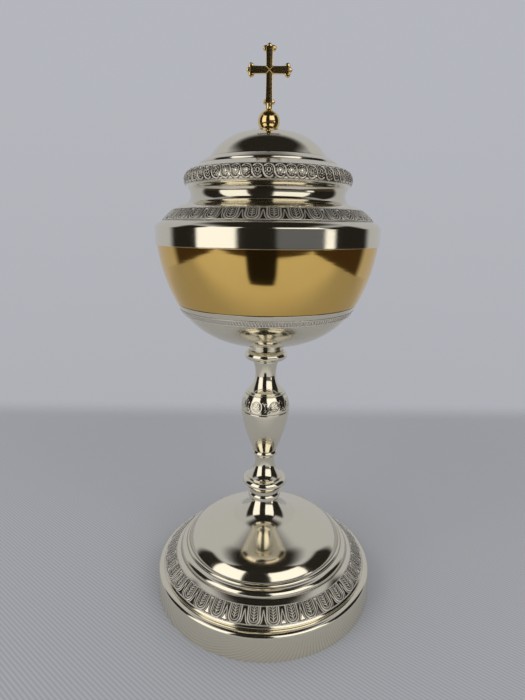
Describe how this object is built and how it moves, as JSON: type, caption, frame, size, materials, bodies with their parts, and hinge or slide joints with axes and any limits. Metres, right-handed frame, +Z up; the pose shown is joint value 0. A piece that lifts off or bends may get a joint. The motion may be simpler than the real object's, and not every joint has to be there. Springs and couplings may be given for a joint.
{
  "type": "ciborium",
  "caption": "Footed round cup with a lift-off domed lid and a small budded cross, on a turned baluster stem and a stepped, domed foot; silver-plated metal with a gilt cup.",
  "frame": {"origin": "centre of the foot's rest plane, on the vessel's axis", "axes": "+Z up along the vessel's axis, +X along the arms of the cross, -Y towards the viewer"},
  "size_m": [0.105, 0.105, 0.2431],
  "materials": {
    "silver_plate": "polished silver plate over brass",
    "gilt": "polished gilding over brass",
    "brass": "plain turned brass"
  },
  "bodies": {
    "base": {"foot_rim": "silver_plate", "foot_shell": "silver_plate", "foot_leaf_band": "silver_plate", "lower_collar": "silver_plate", "lower_spool": "silver_plate", "knop": "silver_plate", "upper_spool": "silver_plate", "upper_collar": "silver_plate", "calyx": "silver_plate", "calyx_bead_wire": "silver_plate", "gilt_cup": "gilt", "cup_boss": "brass", "tie_rod": "brass", "foot_washer": "brass", "foot_nut": "brass"},
    "lid": {"lid_rim_band": "silver_plate", "lid_bezel": "silver_plate", "lid_shell": "silver_plate", "lid_leaf_band": "silver_plate", "lid_scroll_band": "silver_plate", "finial_ball": "gilt", "cross": "gilt", "finial_washer": "brass", "finial_nut": "brass"}
  },
  "joints": [
    {"name": "lid_lift", "type": "slide", "parent": "base", "child": "lid", "axis": [0, 0, 1], "range_m": [0, 0.09]}
  ]
}
